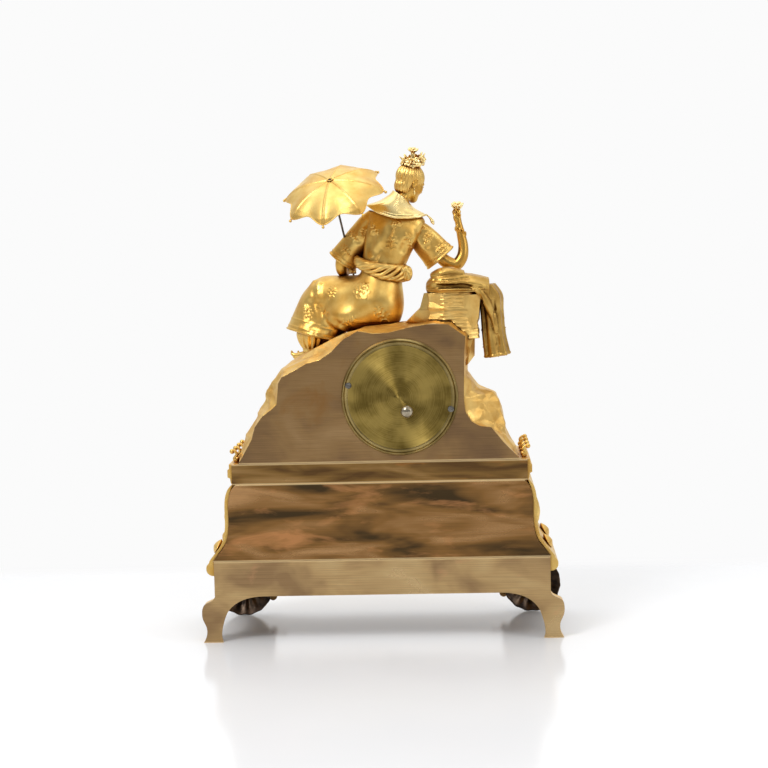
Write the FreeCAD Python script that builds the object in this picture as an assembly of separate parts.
# A mantel clock with a seated figure. Its dial faces -Y and its plain back faces +Y.
# The origin is on the table under the middle of the case. Every length is in millimetres.
import FreeCAD, Part
import math
import os

os.makedirs("parts", exist_ok=True)

V = FreeCAD.Vector

# Overall case
case_back_y = 56.0
case_front_y = -56.0
base_half_width = 145.0
foot_height = 40.0
base_band_height = 30.5
plinth_height = 67.0
cornice_height = 17.5
rock_height = 119.0
rock_inset = 6.5
back_plate_thickness = 2.5
casting_wall = 3.0
seam_gap = 0.3
front_depth_share = 0.7
overrun = 5.0
running_gap = 0.05
free_gap = 0.3

# Base mouldings and feet
torus_projection = 7.0
torus_height = 12.5
base_flange_thickness = 2.5
base_flange_opening_x = 112.0
base_flange_opening_y = 34.0
plinth_foot_overhang = 4.5
plinth_neck_inset = 17.5
plinth_plate_inset = 3.5
cornice_projection = 3.5
cornice_plate_inset = 0.5
deck_thickness = 3.0
pendulum_slot_half_x = 20.0
pendulum_slot_half_y = 13.0
foot_return_depth = 9.0

# Shell feet
shell_inset = 12.0
shell_radius = 26.5
shell_thickness = 3.0
shell_dish = 10.0
shell_rib_count = 9
shell_rib_radius = 1.9
shell_boss_radius = 4.0
volute_radius = 3.2
volute_length = 9.0

# Heights and widths that follow from the case
base_top_z = foot_height + base_band_height
plinth_top_z = base_top_z + plinth_height
deck_top_z = plinth_top_z + cornice_height
rock_peak_z = deck_top_z + rock_height
plinth_foot_half_width = base_half_width + plinth_foot_overhang
plinth_neck_half_width = base_half_width - plinth_neck_inset
cornice_plate_half_width = plinth_neck_half_width - cornice_plate_inset
rock_half_width = plinth_neck_half_width - rock_inset
shell_centre_x = base_half_width - shell_inset


def over_deck(across, back, up):
    # A place measured from the deck's top, over the middle of the case.
    return V(across, back, deck_top_z + up)


# Movement drum, its rings and its cover
drum_centre_x = -19.1
drum_centre_lift = 55.6
drum_inner_radius = 42.4
drum_wall = 1.0
drum_front_y = -38.0
drum_flange_radius = 49.0
drum_flange_thickness = 2.0
drum_seat_radius = 37.0
drum_seat_thickness = 2.0
ring_outer_radius = 50.0
ring_flange_thickness = 1.4
ring_bead_thickness = 1.6
ring_bead_inner_radius = 45.0
cover_radius = 44.3
cover_thickness = 1.4
cover_skirt_wall = 0.9
cover_skirt_depth = 8.0
cover_dish = 0.9
screw_circle_radius = 44.9
screw_tilt = 14.0
screw_head_radius = 2.6
screw_shank_radius = 1.1
screw_head_height = 1.9
screw_slot_width = 0.7
screw_slot_depth = 0.8
knob_offset_x = -6.2
knob_offset_z = -11.7
knob_radius = 5.6
knob_neck_radius = 2.4
knob_neck_length = 3.2
knob_seat_radius = 4.0
knob_seat_height = 0.9

# Dial, bezel and hands
dial_radius = 43.0
dial_thickness = 1.2
bezel_outer_radius = 48.0
bezel_face_width = 7.7
bezel_depth = 9.8
bezel_lip_thickness = 1.3
glass_lap = 1.6
glass_thickness = 1.5
hinge_radius = 1.7
hinge_pin_radius = 0.7
hinge_reach = 3.2
hinge_length = 14.0
hinge_gap = 0.25
hour_hand_length = 22.0
minute_hand_length = 34.0
hand_thickness = 0.7
hand_boss_radius = 3.0
hand_stem_width = 1.5

# Movement frame, measured from the drum's axis
movement_plate_radius = 38.0
movement_plate_thickness = 2.0
motion_work_depth = 8.0
plate_gap = 30.0
pillar_radius = 2.1
pillar_places = [(0.0, -34.0), (34.5, 5.0), (-35.0, -1.0), (20.0, 29.0)]
arbor_radius = 1.1
pivot_radius = 0.6
end_shake = 0.15
wheel_thickness = 1.4
pinion_length = 4.0

# Going train and striking train
train_module = 0.5
fine_module = 0.4
tooth_thickness_share = 0.42
tooth_addendum_share = 0.8
tooth_dedendum_share = 1.15
pressure_angle = 22.0
barrel_teeth = 62
great_pinion_teeth = 10
intermediate_teeth = 60
centre_teeth = 60
third_teeth = 55
strike_second_teeth = 40
pin_wheel_teeth = 40
leaf_count = 10
cannon_teeth = 12
minute_wheel_teeth = 36
hour_wheel_teeth = 40
barrel_drum_radius = 13.4
barrel_arbor_radius = 2.0
winding_square = 3.0
escape_teeth = 30
escape_radius = 7.5
escape_root_share = 0.8
going_barrel_place = (16.2, -12.0)
centre_angle = 200.05
third_angle = 119.39
escape_drop = 25.0
pallet_height = 35.5
strike_barrel_place = (-16.2, -12.0)
strike_second_angle = 99.9
pin_wheel_angle = 107.2
fly_angle = 50.0
fly_radius = 7.0
hammer_place = (-33.0, 10.0)
hammer_head_place = (-23.6, -6.0)
hammer_head_radius = 4.0
hammer_arm_radius = 1.0

# Levels between the plates, from the front plate's inner face
barrel_drum_level = 1.5
barrel_wheel_level = 13.0
great_pinion_level = 12.0
intermediate_level = 18.0
centre_pinion_level = 17.0
centre_level = 22.0
third_pinion_level = 21.0
third_level = 26.0
escape_pinion_level = 25.0
escape_level = 20.0
pin_wheel_level = 22.5
fly_vane_level = 5.0
fly_vane_length = 12.0

# Pendulum, bell and cock
pendulum_length = 150.0
bob_radius = 16.0
bob_thickness = 7.0
pendulum_rod_radius = 1.2
pendulum_plane = 10.0
rating_nut_radius = 3.2
rating_nut_height = 3.0
crutch_length = 22.0
crutch_pin_radius = 0.6
cock_width = 13.0
cock_height = 2.2
cock_lug_thickness = 1.5
cock_lug_width = 6.0
bell_place = (10.0, -4.0)
bell_radius = 28.0
bell_depth = 16.0
bell_wall = 1.2
bell_standoff = 16.0
bell_post_radius = 2.0
bell_nut_radius = 3.4
bell_nut_height = 2.4

# Seated figure
head_centre = over_deck(-29.5, -1.5, 237.0)
head_radius = 11.0
neck_radius = 5.6
neck_base = over_deck(-19.0, 5.0, 217.0)
waist_centre = over_deck(-3.5, 9.0, 163.0)
waist_half_width = 20.5
waist_half_depth = 14.0
chest_centre = over_deck(-13.5, 8.0, 190.0)
chest_half_width = 22.0
chest_half_depth = 15.5
shoulder_centre = over_deck(-17.5, 6.0, 209.0)
shoulder_half_width = 24.5
shoulder_half_depth = 12.0
hip_centre = over_deck(1.5, 6.0, 137.0)
hip_half_width = 26.0
hip_half_depth = 23.0
thigh_centre = over_deck(34.0, -9.0, 135.0)
thigh_half_height = 21.0
thigh_half_depth = 22.0
knee_centre = over_deck(58.0, -17.0, 134.0)
knee_half_height = 20.0
knee_half_depth = 21.0
hem_centre = over_deck(60.0, -16.0, 108.0)
hem_half_length = 24.0
hem_half_depth = 20.0
sash_radius = 5.6
sash_knot_radius = 7.0
collar_thickness = 2.6
collar_reach = 33.0
left_shoulder = over_deck(4.0, 2.0, 205.0)
left_elbow = over_deck(31.0, -5.0, 176.0)
left_hand = over_deck(24.0, -16.5, 168.5)
right_shoulder = over_deck(-40.0, 2.0, 197.5)
right_elbow = over_deck(-63.5, -1.0, 165.0)
right_hand = over_deck(-72.0, -3.5, 210.5)
sleeve_shoulder_radius = 8.5
sleeve_hem_radius = 11.5
sleeve_hem_depth = 8.0
right_sleeve_fall = V(-7.0, 0, -5.0)
forearm_radius = 4.2
wrist_radius = 3.0
hand_radius = 4.6
flower_radius = 6.0
flower_height = 6.5
petal_count = 7
# Height, reach of the petals' tips and reach of the folds, ring by ring
flower_shares = [(0, 0.35, 0.35), (0.45, 0.75, 0.55), (0.85, 1.1, 0.8), (1, 0.95, 0.6), (0.75, 0.5, 0.35),
                 (0.7, 0.2, 0.2)]
wreath_centre = over_deck(-30.5, -0.5, 252.5)
wreath_radius = 6.6
wreath_bloom_radius = 3.4
wreath_bloom_count = 8
crown_bloom_radius = 4.6
crown_bloom_lift = 9.6
bun_radius = 6.0
ankle_left = over_deck(62.0, -12.0, 95.0)
ankle_radius = 9.5
slipper_toe = over_deck(78.5, -16.0, 88.5)
slipper_heel = over_deck(55.0, -11.0, 90.0)
slipper_radius = 4.2
toe_radius = 1.7

# Parasol
hub_centre = over_deck(36.1, 36.0, 240.3)
parasol_axis = V(0.143, 0.555, 0.820)
parasol_crease_radius = 37.0
parasol_crease_drop = 9.1
parasol_tip_radius = 44.9
parasol_tip_drop = 15.8
parasol_rib_count = 8
parasol_wall = 1.2
parasol_tip_ball_radius = 1.5
parasol_rod_radius = 0.9
parasol_rod_length = 101.0
parasol_first_rib = 22.0

# Rock and drapery
rock_front_y = -36.0
rock_middle_y = 12.0
rock_wall_share = 0.86
rock_bore_gap = 0.4
pillar_back_y = 44.0
pillar_front_y = 2.0
pillar_top_lift = 143.0
pillar_foot_lift = 103.0
pillar_left_x = -42.5
pillar_right_x = -88.0
drape_top_lift = 149.5
drape_radius = 5.5
drape_fold_radius = 7.0
drape_tail_low_lift = 86.0
drape_tail_x = -102.0
drape_tail_half_width = 8.5
drape_tail_half_depth = 6.0

# Side galleries, leaves and the front panel
gallery_post_count = 4
gallery_rail_height = 2.2
gallery_rail_width = 4.0
gallery_post_height = 7.0
gallery_post_radius = 2.0
gallery_ball_radius = 2.7
gallery_lean = 3.5
gallery_inset = 5.5
leaf_relief = 4.5
leaf_length = 30.0
leaf_width = 15.0
panel_half_length = 58.0
panel_half_height = 15.0
panel_relief = 3.0
panel_boss_radius = 8.0
panel_petal_count = 8
base_screw_radius = 2.6
base_screw_drop = 2.2
base_screw_x = [86.0, -3.0]

# Sizes that follow from the ones above
drum_centre_z = deck_top_z + drum_centre_lift
pillar_top_z = deck_top_z + pillar_top_lift
pillar_foot_z = deck_top_z + pillar_foot_lift
drape_top_z = deck_top_z + drape_top_lift
drape_tail_low_z = deck_top_z + drape_tail_low_lift
plate_inner_y = case_back_y - back_plate_thickness
bezel_inner_radius = bezel_outer_radius - bezel_face_width
glass_radius = bezel_inner_radius + glass_lap
hinge_offset = bezel_outer_radius + hinge_reach
drum_outer_radius = drum_inner_radius + drum_wall
drum_back_y = case_back_y + ring_flange_thickness
dial_front_y = drum_front_y - dial_thickness
movement_front_y = drum_front_y + motion_work_depth
front_plate_inner_y = movement_front_y + movement_plate_thickness
back_plate_inner_y = front_plate_inner_y + plate_gap
movement_back_y = back_plate_inner_y + movement_plate_thickness
pendulum_y = movement_back_y + pendulum_plane


def box(x_low, x_high, y_low, y_high, z_low, z_high):
    return Part.makeBox(x_high - x_low, y_high - y_low, z_high - z_low, V(x_low, y_low, z_low))


def rod(start, end, radius):
    direction = end - start
    return Part.makeCylinder(radius, direction.Length, start, direction)


def taper(start, end, start_radius, end_radius):
    direction = end - start
    return Part.makeCone(start_radius, end_radius, direction.Length, start, direction)


def ball(centre, radius):
    return Part.makeSphere(radius, centre)


def fuse_all(shapes):
    shapes = list(shapes)
    return shapes[0].multiFuse(shapes[1:]).removeSplitter()


def outline_face(points):
    return Part.Face(Part.makePolygon(list(points) + [points[0]]))


def smooth_edge(points):
    curve = Part.BSplineCurve()
    curve.interpolate(points)
    return curve.toShape()


def smooth_ring(points):
    curve = Part.BSplineCurve()
    curve.interpolate(Points=points, PeriodicFlag=True)
    return Part.Wire([curve.toShape()])


def oval(centre, side, rise, half_side, half_rise, point_count=12):
    # An oval section: its two half sizes lie along the directions side and rise.
    side = V(side).normalize()
    rise = V(rise).normalize()
    turns = [2 * math.pi * step / point_count for step in range(point_count)]
    return smooth_ring([centre + side * (half_side * math.cos(turn)) + rise * (half_rise * math.sin(turn))
                        for turn in turns])


def limb(stations):
    # A rounded limb through (centre, radius) stations: straight runs joined by balls.
    shapes = [ball(centre, radius) for centre, radius in stations]
    for (near, near_radius), (far, far_radius) in zip(stations, stations[1:]):
        if near_radius == far_radius:
            shapes.append(rod(near, far, near_radius))
        else:
            shapes.append(taper(near, far, near_radius, far_radius))
    return fuse_all(shapes)


def faceted(sections, closed=False):
    # A solid with flat facets between sections that have the same number of points.
    pairs = list(zip(sections, sections[1:]))
    if closed:
        pairs.append((sections[-1], sections[0]))
    faces = []
    for near, far in pairs:
        count = len(near)
        for index in range(count):
            following = (index + 1) % count
            faces.append(outline_face([near[index], near[following], far[following]]))
            faces.append(outline_face([near[index], far[following], far[index]]))
    if not closed:
        faces.append(outline_face(sections[0]))
        faces.append(outline_face(sections[-1]))
    shell = Part.Shell(faces)
    shell.sewShape()
    body = Part.Solid(shell)
    if body.Volume < 0:
        body.reverse()
    return body


def turned(profile, centre_x, centre_z):
    # A body of revolution about a line along Y; the profile holds (radius, y) pairs.
    face = outline_face([V(centre_x + radius, y, centre_z) for radius, y in profile])
    return face.revolve(V(centre_x, 0, centre_z), V(0, 1, 0), 360)


def at_drum(across, up, y):
    return V(drum_centre_x + across, y, drum_centre_z + up)


def drum_disc(radius, y_low, y_high):
    return rod(at_drum(0, 0, y_low), at_drum(0, 0, y_high), radius)


def save(name, shape):
    shape.exportStep("parts/" + name + ".step")
    print(name, len(shape.Solids), shape.isValid(), round(shape.Volume))


# Case mouldings: one profile runs along the front and both sides and is mitred at the corners

def front_y_at(half_width):
    return case_front_y - front_depth_share * (half_width - base_half_width)


def mitred(profile, inset, back_y, smooth):
    # The profile holds (half width, z) pairs from the bottom up.
    low_z = profile[0][1]
    high_z = profile[-1][1]
    side = [V(half - inset, 0, z) for half, z in profile]
    mirrored = [V(-point.x, 0, point.z) for point in side]
    front = [V(0, front_y_at(half) + inset, z) for half, z in profile]
    join = smooth_edge if smooth else Part.makePolygon
    side_edges = join(side).Edges + join(mirrored).Edges
    side_edges += [Part.makeLine(side[0], mirrored[0]), Part.makeLine(side[-1], mirrored[-1])]
    side_face = Part.Face(Part.Wire(Part.__sortEdges__(side_edges)))
    reach = case_back_y - case_front_y
    side_body = side_face.extrude(V(0, 2 * reach, 0))
    side_body.translate(V(0, back_y - 2 * reach, 0))
    back_low = V(0, back_y, low_z)
    back_high = V(0, back_y, high_z)
    front_edges = join(front).Edges
    front_edges += [Part.makeLine(front[0], back_low), Part.makeLine(front[-1], back_high)]
    front_edges.append(Part.makeLine(back_low, back_high))
    front_face = Part.Face(Part.Wire(Part.__sortEdges__(front_edges)))
    front_body = front_face.extrude(V(4 * base_half_width, 0, 0))
    front_body.translate(V(-2 * base_half_width, 0, 0))
    return side_body.common(front_body)


def plinth_profile():
    flare = plinth_foot_half_width - plinth_neck_half_width
    height = plinth_top_z - base_top_z
    profile_shares = [(0, 0), (0.23, 0.10), (0.5, 0.22), (0.64, 0.36), (0.68, 0.59), (0.69, 0.78),
                      (0.77, 0.9), (1, 1)]
    return [(plinth_foot_half_width - flare * inward, base_top_z + height * up)
            for inward, up in profile_shares]


def torus_profile():
    low_z = base_top_z - torus_height
    bulge_shares = [(0, 0), (0.55, 0.06), (0.92, 0.27), (1, 0.5), (0.92, 0.73), (0.64, 0.92), (0.6, 1)]
    return [(base_half_width + torus_projection * out, low_z + torus_height * up)
            for out, up in bulge_shares]


def cornice_profile():
    height = deck_top_z - plinth_top_z
    step_shares = [(0, 0), (0.25, 0.1), (0.4, 0.3), (1, 0.36), (1, 0.72), (0.6, 0.78), (0.6, 1)]
    return [(plinth_neck_half_width + cornice_projection * out, plinth_top_z + height * up)
            for out, up in step_shares]


def make_base_frame():
    band = [(base_half_width, foot_height), (base_half_width, base_top_z - torus_height)]
    outer = fuse_all([mitred(band, 0, plate_inner_y, False),
                      mitred(torus_profile(), 0, plate_inner_y, True)])
    tall = [(base_half_width, foot_height - overrun), (base_half_width, base_top_z - base_flange_thickness)]
    hollow = mitred(tall, casting_wall, plate_inner_y + overrun, False)
    opening = box(-base_flange_opening_x, base_flange_opening_x, -base_flange_opening_y,
                  plate_inner_y - casting_wall, foot_height, base_top_z + overrun)
    body = outer.cut(hollow).cut(opening)
    for seat in base_screw_places():
        body = body.cut(rod(seat, seat + V(0, 0, base_screw_drop), screw_shank_radius))
    returns = [foot_return(side) for side in (1, -1)]
    return fuse_all([body] + returns)


def base_screw_places():
    return [V(place_x, case_front_y + base_screw_radius, foot_height) for place_x in base_screw_x]


foot_outer_shares = [(0, 1), (0.09, 0.9), (0.24, 0.82), (0.29, 0.66), (0.27, 0.5), (0.2, 0.34),
                     (0.2, 0.15), (0.27, 0)]
foot_inner_shares = [(-0.16, 0), (-0.13, 0.15), (-0.17, 0.4), (-0.27, 0.66), (-0.46, 0.85),
                     (-0.72, 0.96), (-1.05, 1)]


def foot_face(side):
    outer = [V(side * (base_half_width + foot_height * out), 0, foot_height * up)
             for out, up in foot_outer_shares]
    inner = [V(side * (base_half_width + foot_height * out), 0, foot_height * up)
             for out, up in foot_inner_shares]
    edges = [smooth_edge(outer), Part.makeLine(outer[-1], inner[0]), smooth_edge(inner)]
    edges.append(Part.makeLine(inner[-1], outer[0]))
    return Part.Face(Part.Wire(edges))


def foot_return(side):
    # The thin side of a rear foot, which carries the foot's outer curve round the corner.
    solid_foot = foot_face(side).extrude(V(0, foot_return_depth, 0))
    solid_foot.translate(V(0, plate_inner_y - foot_return_depth, 0))
    core = foot_face(side).extrude(V(0, foot_return_depth + 2 * overrun, 0))
    core.translate(V(-side * casting_wall, plate_inner_y - foot_return_depth - overrun, 0))
    return solid_foot.cut(core)


def make_base_back_plate():
    band = box(-base_half_width, base_half_width, plate_inner_y, case_back_y, foot_height, base_top_z)
    feet = [foot_face(side).extrude(V(0, back_plate_thickness, 0)) for side in (1, -1)]
    for foot in feet:
        foot.translate(V(0, plate_inner_y, 0))
    return fuse_all([band] + feet)


def make_shell_foot(side):
    # A ribbed scallop shell, hollow towards the back, with a small scroll at its inner top.
    centre = V(side * shell_centre_x, case_front_y, shell_radius)
    turns = [math.pi * (step / (shell_rib_count - 1) - 0.5) for step in range(shell_rib_count)]
    sphere_radius = (shell_radius ** 2 + shell_dish ** 2) / (2 * shell_dish)
    sphere_centre = centre + V(0, sphere_radius - shell_dish, 0)
    outer = ball(sphere_centre, sphere_radius)
    rim = rod(centre - V(0, shell_dish + overrun, 0), centre, shell_radius)
    cup = outer.common(rim).cut(ball(sphere_centre, sphere_radius - shell_thickness))
    ribs = []
    for turn in turns:
        rim_point = centre + V(math.sin(turn), 0, -math.cos(turn)) * (shell_radius - shell_rib_radius)
        root = sphere_centre + V(0, -sphere_radius + shell_thickness / 2, 0)
        middle = (root + rim_point) * 0.5
        middle = sphere_centre + (middle - sphere_centre).normalize() * (sphere_radius
                                                                         - shell_rib_radius / 2)
        ribs.append(rod(root, middle, shell_rib_radius))
        ribs.append(rod(middle, rim_point - V(0, shell_rib_radius / 2, 0), shell_rib_radius))
        ribs.append(ball(middle, shell_rib_radius))
    boss_z = base_top_z - torus_height - 3 * shell_boss_radius
    boss_start = V(centre.x, case_front_y, boss_z)
    boss = rod(boss_start, boss_start - V(0, shell_dish / 2, 0), shell_boss_radius)
    scroll_x = side * (shell_centre_x - shell_radius + volute_radius / 2)
    scroll_z = foot_height - volute_radius / 2
    scroll_end = V(scroll_x, case_front_y - volute_length, scroll_z)
    scroll = rod(scroll_end + V(0, volute_length, 0), scroll_end, volute_radius)
    body = fuse_all([cup, boss, scroll] + ribs)
    ground = box(-2 * base_half_width, 2 * base_half_width, 2 * case_front_y, case_back_y, -foot_height, 0)
    return body.cut(ground)


def make_plinth_shell():
    outer = mitred(plinth_profile(), 0, plate_inner_y, True)
    low, high = plinth_profile()[0], plinth_profile()[-1]
    grown = [(low[0], low[1] - overrun)] + plinth_profile()[1:-1] + [(high[0], high[1] + overrun)]
    hollow = mitred(grown, casting_wall, plate_inner_y + overrun, True)
    return outer.cut(hollow)


def plinth_plate_edges(side):
    return [V(side * (half - plinth_plate_inset), 0, z) for half, z in plinth_profile()]


def make_plinth_back_plate():
    right = plinth_plate_edges(1)
    left = plinth_plate_edges(-1)
    right[0].z += seam_gap
    left[0].z += seam_gap
    edges = [smooth_edge(right), Part.makeLine(right[-1], left[-1]), smooth_edge(left)]
    edges.append(Part.makeLine(left[0], right[0]))
    plate = Part.Face(Part.Wire(Part.__sortEdges__(edges))).extrude(V(0, back_plate_thickness, 0))
    plate.translate(V(0, plate_inner_y, 0))
    return plate


def make_cornice():
    outer = mitred(cornice_profile(), 0, plate_inner_y, False)
    inside_half = plinth_neck_half_width - casting_wall
    inside_front = front_y_at(plinth_neck_half_width) + casting_wall
    hollow = box(-inside_half, inside_half, inside_front, plate_inner_y + overrun,
                 plinth_top_z - overrun, deck_top_z - deck_thickness)
    slot = box(drum_centre_x - pendulum_slot_half_x, drum_centre_x + pendulum_slot_half_x,
               pendulum_y - pendulum_slot_half_y, pendulum_y + pendulum_slot_half_y,
               plinth_top_z, deck_top_z + overrun)
    return outer.cut(hollow).cut(slot)


def make_cornice_back_plate():
    return box(-cornice_plate_half_width, cornice_plate_half_width, plate_inner_y, case_back_y,
               plinth_top_z, deck_top_z)


# Rock: matching outlines at the back plate, in the middle and at the front, as shares of its size

rock_back_shares = [
    (1.0, 0.0), (0.95, 0.09), (0.9, 0.18), (0.875, 0.27), (0.82, 0.345), (0.76, 0.39), (0.715, 0.43),
    (0.7, 0.58), (0.675, 0.625), (0.595, 0.665), (0.5, 0.72), (0.41, 0.74), (0.32, 0.8), (0.23, 0.89),
    (0.13, 0.945), (0.025, 0.925), (-0.09, 0.93), (-0.24, 0.965), (-0.4, 0.99), (-0.51, 0.98),
    (-0.63, 0.89), (-0.62, 0.78), (-0.615, 0.61), (-0.61, 0.45), (-0.62, 0.345), (-0.66, 0.28),
    (-0.72, 0.245), (-0.8, 0.235), (-0.885, 0.125), (-1.0, 0.0)]
rock_middle_shares = [
    (1.0, 0.0), (1.0, 0.11), (0.95, 0.22), (0.88, 0.32), (0.86, 0.38), (0.81, 0.445), (0.81, 0.5),
    (0.77, 0.58), (0.71, 0.655), (0.635, 0.72), (0.545, 0.775), (0.43, 0.825), (0.33, 0.88), (0.215, 0.93),
    (0.085, 0.965), (-0.015, 0.98), (-0.115, 0.99), (-0.265, 1.005), (-0.415, 1.015), (-0.545, 1.005),
    (-0.66, 0.9), (-0.655, 0.78), (-0.64, 0.63), (-0.72, 0.52), (-0.84, 0.47), (-0.885, 0.355),
    (-0.91, 0.2), (-0.935, 0.145), (-0.975, 0.075), (-1.0, 0.0)]
rock_front_shares = [
    (0.93, 0.0), (0.91, 0.08), (0.86, 0.16), (0.8, 0.25), (0.745, 0.32), (0.695, 0.38), (0.645, 0.445),
    (0.61, 0.54), (0.57, 0.605), (0.51, 0.655), (0.445, 0.705), (0.37, 0.765), (0.28, 0.815), (0.18, 0.865),
    (0.065, 0.9), (-0.05, 0.915), (-0.15, 0.925), (-0.265, 0.93), (-0.38, 0.915), (-0.48, 0.865),
    (-0.55, 0.8), (-0.565, 0.7), (-0.59, 0.595), (-0.63, 0.48), (-0.695, 0.395), (-0.76, 0.31),
    (-0.81, 0.21), (-0.85, 0.14), (-0.885, 0.07), (-0.93, 0.0)]


def rock_outline(shares, y, size_share=1.0, sink=0.0):
    height = rock_peak_z - deck_top_z
    return [V(rock_half_width * across * size_share, y,
              deck_top_z - sink + (height * up + sink) * size_share)
            for across, up in shares]


def rock_sections(size_share, sink, back_y, front_y):
    ledge_y = (rock_middle_y + case_back_y) / 2
    return [
        rock_outline(rock_back_shares, back_y, size_share, sink),
        rock_outline(rock_middle_shares, ledge_y, size_share, sink),
        rock_outline(rock_middle_shares, rock_middle_y, size_share * 0.995, sink),
        rock_outline(rock_front_shares, front_y, size_share, sink)]


def make_rock_mound():
    outer = faceted(rock_sections(1.0, 0.0, plate_inner_y, rock_front_y))
    inner_front_y = rock_front_y * rock_wall_share
    hollow = faceted(rock_sections(rock_wall_share, overrun, plate_inner_y + overrun, inner_front_y))
    bore = drum_disc(drum_outer_radius + rock_bore_gap, rock_front_y - overrun, case_back_y + overrun)
    return outer.cut(hollow).cut(bore)


def make_rock_back_plate():
    points = rock_outline(rock_back_shares, plate_inner_y)
    points[0].z += seam_gap
    points[-1].z += seam_gap
    plate = outline_face(points).extrude(V(0, back_plate_thickness, 0))
    hole = drum_disc(drum_outer_radius + free_gap, plate_inner_y - overrun, case_back_y + overrun)
    plate = plate.cut(hole)
    for screw in ring_screw_places():
        start = screw + V(0, plate_inner_y - overrun, 0)
        plate = plate.cut(rod(start, start + V(0, 2 * overrun + back_plate_thickness, 0),
                              screw_shank_radius))
    return plate


pillar_foot_shares = [(0, 0.1), (0.35, 0), (0.75, 0.03), (1, 0.2), (1.02, 0.55), (0.95, 0.9), (0.6, 1),
                      (0.15, 0.95),
                      (-0.25, 0.7), (-0.2, 0.35)]
pillar_top_shares = [(0.05, 0.2), (0.35, 0.08), (0.8, 0.12), (0.96, 0.25), (1, 0.6), (0.9, 0.85),
                     (0.55, 0.93),
                     (0.2, 0.9), (0, 0.7), (-0.02, 0.4)]


def pillar_ring(shares, z):
    width = pillar_right_x - pillar_left_x
    depth = pillar_front_y - pillar_back_y
    return [V(pillar_left_x + width * across, pillar_back_y + depth * along, z) for across, along in shares]


def make_rock_pillar():
    shoulder_z = pillar_foot_z + (pillar_top_z - pillar_foot_z) * 0.6
    sections = [pillar_ring(pillar_foot_shares, pillar_foot_z), pillar_ring(pillar_top_shares, shoulder_z),
                pillar_ring(pillar_top_shares, pillar_top_z)]
    return faceted(sections).cut(rock_block())


def rock_block():
    # The rock as one filled block, which whatever stands on it is cut to.
    return faceted(rock_sections(1.0, 0.0, plate_inner_y, rock_front_y))


def make_drapery(pillar):
    # A scarf folded over the pillar's top, with its two ends hanging beside the pillar.
    along = V(1, 0, 0)
    up = V(0, 0, 1)
    back = V(0, 1, 0)
    middle_y = (pillar_back_y + pillar_front_y) / 2
    half_depth = (pillar_back_y - pillar_front_y) * 0.42
    top_z = drape_top_z
    stations = [
        (V(pillar_left_x + drape_radius / 2, middle_y, top_z), half_depth * 0.7, drape_radius * 0.7),
        (V(pillar_left_x - drape_fold_radius, middle_y, top_z + drape_radius * 0.2), half_depth,
         drape_fold_radius),
        (V((pillar_left_x + pillar_right_x) / 2, middle_y, top_z + drape_radius * 0.2), half_depth,
         drape_fold_radius),
        (V(pillar_right_x + drape_fold_radius / 2, middle_y, top_z - drape_radius * 0.2),
         half_depth * 0.8, drape_fold_radius)]
    top = Part.makeLoft([oval(centre, back, up, wide, high) for centre, wide, high in stations], True)
    shoulder = V(pillar_right_x - drape_radius, middle_y, pillar_top_z - drape_radius)
    low = V(drape_tail_x, middle_y - drape_fold_radius, drape_tail_low_z)
    tail_stations = [
        (V(pillar_right_x + drape_fold_radius, middle_y, top_z), V(1, 0, 1), half_depth * 0.6,
         drape_radius),
        (shoulder, V(1, 0, 0.4), half_depth * 0.55, drape_tail_half_depth),
        ((shoulder + low) * 0.5 - V(drape_radius * 0.2, 0, 0), along, half_depth * 0.5,
         drape_tail_half_depth),
        (low, along, drape_tail_half_width, drape_tail_half_width)]
    tail = Part.makeLoft([oval(centre, back, side, wide, deep)
                          for centre, side, wide, deep in tail_stations], True)
    return fuse_all([top, tail]).cut(pillar).cut(rock_block())


# Drum, rings, cover and dial

def ring_screw_places():
    places = []
    for turn in (screw_tilt, 180 + screw_tilt):
        angle = math.radians(turn)
        places.append(V(drum_centre_x + screw_circle_radius * math.cos(angle), 0,
                        drum_centre_z + screw_circle_radius * math.sin(angle)))
    return places


def make_drum_case():
    seat_back_y = movement_front_y
    seat_front_y = seat_back_y - drum_seat_thickness
    flange_back_y = drum_front_y + drum_flange_thickness
    profile = [(drum_inner_radius, drum_front_y), (drum_flange_radius, drum_front_y),
               (drum_flange_radius, flange_back_y), (drum_outer_radius, flange_back_y),
               (drum_outer_radius, drum_back_y), (drum_inner_radius, drum_back_y),
               (drum_inner_radius, seat_back_y), (drum_seat_radius, seat_back_y),
               (drum_seat_radius, seat_front_y), (drum_inner_radius, seat_front_y)]
    drum = turned(profile, drum_centre_x, drum_centre_z)
    slot_half_x = pendulum_slot_half_x / 2
    slot_half_y = pendulum_slot_half_y / 2
    slot = box(drum_centre_x - slot_half_x, drum_centre_x + slot_half_x, pendulum_y - slot_half_y,
               pendulum_y + slot_half_y, drum_centre_z - drum_outer_radius - overrun,
               drum_centre_z - drum_seat_radius)
    knuckles = []
    for end in (1, -1):
        low = hinge_point(end * hinge_length / 4)
        high = hinge_point(end * (hinge_length * 0.75))
        knuckles.append(rod(low, high, hinge_radius))
        leaf = box(low.x, drum_centre_x - drum_flange_radius + drum_flange_thickness,
                   drum_front_y - hinge_radius,
                   flange_back_y, min(low.z, high.z), max(low.z, high.z))
        knuckles.append(leaf.cut(drum_disc(bezel_outer_radius + free_gap, drum_front_y - overrun,
                                           drum_front_y)))
    pin = rod(hinge_point(-hinge_length * 0.75), hinge_point(hinge_length * 0.75), hinge_pin_radius)
    return fuse_all([drum.cut(slot)] + knuckles + [pin])


def hinge_point(up):
    return V(drum_centre_x - hinge_offset, drum_front_y - hinge_radius, drum_centre_z + up)


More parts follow.
